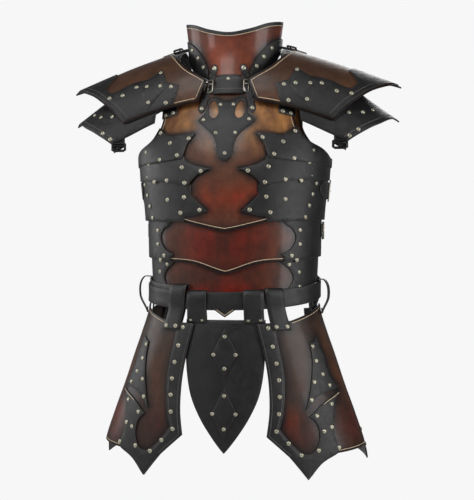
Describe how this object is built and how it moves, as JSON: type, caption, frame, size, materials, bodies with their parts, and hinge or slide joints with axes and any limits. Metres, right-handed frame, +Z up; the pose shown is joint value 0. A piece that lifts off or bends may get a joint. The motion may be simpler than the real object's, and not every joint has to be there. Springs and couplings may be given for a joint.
{
  "type": "leather cuirass",
  "caption": "Leather torso armour with a standing collar, layered shoulder plates, riveted black overlays, a waist belt and hanging thigh plates.",
  "frame": {"origin": "the base of the wearer's neck, on the body's middle axis, from which the worn armour hangs", "axes": "+Z up along the body, the front faces -Y, +X to the right of someone facing the front"},
  "size_m": [0.6912, 0.2738, 0.925],
  "materials": {
    "apron": "black leather, satin, with dark cut edges",
    "apron_diamond_lower": "black leather, satin, with dark cut edges",
    "apron_diamond_upper": "black leather, satin, with dark cut edges",
    "apron_strap_L": "black leather, satin, with dark cut edges",
    "apron_strap_R": "black leather, satin, with dark cut edges",
    "arm_strap_L": "black leather, satin, with dark cut edges",
    "arm_strap_R": "black leather, satin, with dark cut edges",
    "back_lame_lower": "hand-dyed brown to dark red leather, waxed, with dark edges",
    "back_lame_upper": "hand-dyed brown to dark red leather, waxed, with dark edges",
    "backplate": "hand-dyed brown to dark red leather, waxed, with dark edges",
    "belt": "black leather, satin, with dark cut edges",
    "breastplate": "hand-dyed brown to dark red leather, waxed, with dark edges",
    "chest_flap_lower_L": "black leather, satin, with dark cut edges",
    "chest_flap_lower_R": "black leather, satin, with dark cut edges",
    "chest_flap_middle_L": "black leather, satin, with dark cut edges",
    "chest_flap_middle_R": "black leather, satin, with dark cut edges",
    "chest_flap_upper_L": "black leather, satin, with dark cut edges",
    "chest_flap_upper_R": "black leather, satin, with dark cut edges",
    "gorget_back": "hand-dyed brown to dark red leather, waxed, with dark edges",
    "gorget_bar": "black leather, satin, with dark cut edges",
    "gorget_buckle_L": "dull bright cast frame",
    "gorget_buckle_R": "dull bright cast frame",
    "gorget_front": "hand-dyed brown to dark red leather, waxed, with dark edges",
    "gorget_strap_L": "black leather, satin, with dark cut edges",
    "gorget_strap_R": "black leather, satin, with dark cut edges",
    "gorget_wing_L": "black leather, satin, with dark cut edges",
    "gorget_wing_R": "black leather, satin, with dark cut edges",
    "lame_lower": "hand-dyed brown to dark red leather, waxed, with dark edges",
    "lame_side_lower_L": "black leather, satin, with dark cut edges",
    "lame_side_lower_R": "black leather, satin, with dark cut edges",
    "lame_side_upper_L": "black leather, satin, with dark cut edges",
    "lame_side_upper_R": "black leather, satin, with dark cut edges",
    "lame_upper": "hand-dyed brown to dark red leather, waxed, with dark edges",
    "pauldron_cap_L": "black leather, satin, with dark cut edges",
    "pauldron_cap_R": "black leather, satin, with dark cut edges",
    "pauldron_lower_L": "black leather, satin, with dark cut edges",
    "pauldron_lower_R": "black leather, satin, with dark cut edges",
    "pauldron_upper_L": "hand-dyed brown to dark red leather, waxed, with dark edges",
    "pauldron_upper_R": "hand-dyed brown to dark red leather, waxed, with dark edges",
    "rear_strap_L": "black leather, satin, with dark cut edges",
    "rear_strap_R": "black leather, satin, with dark cut edges",
    "rear_tasset_L": "hand-dyed brown to dark red leather, waxed, with dark edges",
    "rear_tasset_R": "hand-dyed brown to dark red leather, waxed, with dark edges",
    "shoulder_strap_L": "black leather, satin, with dark cut edges",
    "shoulder_strap_R": "black leather, satin, with dark cut edges",
    "side_strap_lower_L": "black leather, satin, with dark cut edges",
    "side_strap_lower_R": "black leather, satin, with dark cut edges",
    "side_strap_upper_L": "black leather, satin, with dark cut edges",
    "side_strap_upper_R": "black leather, satin, with dark cut edges",
    "tasset_L": "hand-dyed brown to dark red leather, waxed, with dark edges",
    "tasset_R": "hand-dyed brown to dark red leather, waxed, with dark edges",
    "tasset_border_L": "black leather, satin, with dark cut edges",
    "tasset_border_R": "black leather, satin, with dark cut edges",
    "tasset_dagger_L": "black leather, satin, with dark cut edges",
    "tasset_dagger_R": "black leather, satin, with dark cut edges",
    "tasset_front_strap_L": "black leather, satin, with dark cut edges",
    "tasset_front_strap_R": "black leather, satin, with dark cut edges",
    "tasset_side_strap_L": "black leather, satin, with dark cut edges",
    "tasset_side_strap_R": "black leather, satin, with dark cut edges",
    "throat_ornament": "black leather, satin, with dark cut edges"
  },
  "bodies": {
    "root": {"apron": "apron", "apron_diamond_lower": "apron_diamond_lower", "apron_diamond_upper": "apron_diamond_upper", "apron_strap_L": "apron_strap_L", "apron_strap_R": "apron_strap_R", "arm_strap_L": "arm_strap_L", "arm_strap_R": "arm_strap_R", "back_lame_lower": "back_lame_lower", "back_lame_upper": "back_lame_upper", "backplate": "backplate", "belt": "belt", "breastplate": "breastplate", "chest_flap_lower_L": "chest_flap_lower_L", "chest_flap_lower_R": "chest_flap_lower_R", "chest_flap_middle_L": "chest_flap_middle_L", "chest_flap_middle_R": "chest_flap_middle_R", "chest_flap_upper_L": "chest_flap_upper_L", "chest_flap_upper_R": "chest_flap_upper_R", "gorget_back": "gorget_back", "gorget_bar": "gorget_bar", "gorget_buckle_L": "gorget_buckle_L", "gorget_buckle_R": "gorget_buckle_R", "gorget_front": "gorget_front", "gorget_strap_L": "gorget_strap_L", "gorget_strap_R": "gorget_strap_R", "gorget_wing_L": "gorget_wing_L", "gorget_wing_R": "gorget_wing_R", "lame_lower": "lame_lower", "lame_side_lower_L": "lame_side_lower_L", "lame_side_lower_R": "lame_side_lower_R", "lame_side_upper_L": "lame_side_upper_L", "lame_side_upper_R": "lame_side_upper_R", "lame_upper": "lame_upper", "pauldron_cap_L": "pauldron_cap_L", "pauldron_cap_R": "pauldron_cap_R", "pauldron_lower_L": "pauldron_lower_L", "pauldron_lower_R": "pauldron_lower_R", "pauldron_upper_L": "pauldron_upper_L", "pauldron_upper_R": "pauldron_upper_R", "rear_strap_L": "rear_strap_L", "rear_strap_R": "rear_strap_R", "rear_tasset_L": "rear_tasset_L", "rear_tasset_R": "rear_tasset_R", "shoulder_strap_L": "shoulder_strap_L", "shoulder_strap_R": "shoulder_strap_R", "side_strap_lower_L": "side_strap_lower_L", "side_strap_lower_R": "side_strap_lower_R", "side_strap_upper_L": "side_strap_upper_L", "side_strap_upper_R": "side_strap_upper_R", "tasset_L": "tasset_L", "tasset_R": "tasset_R", "tasset_border_L": "tasset_border_L", "tasset_border_R": "tasset_border_R", "tasset_dagger_L": "tasset_dagger_L", "tasset_dagger_R": "tasset_dagger_R", "tasset_front_strap_L": "tasset_front_strap_L", "tasset_front_strap_R": "tasset_front_strap_R", "tasset_side_strap_L": "tasset_side_strap_L", "tasset_side_strap_R": "tasset_side_strap_R", "throat_ornament": "throat_ornament"}
  },
  "joints": []
}
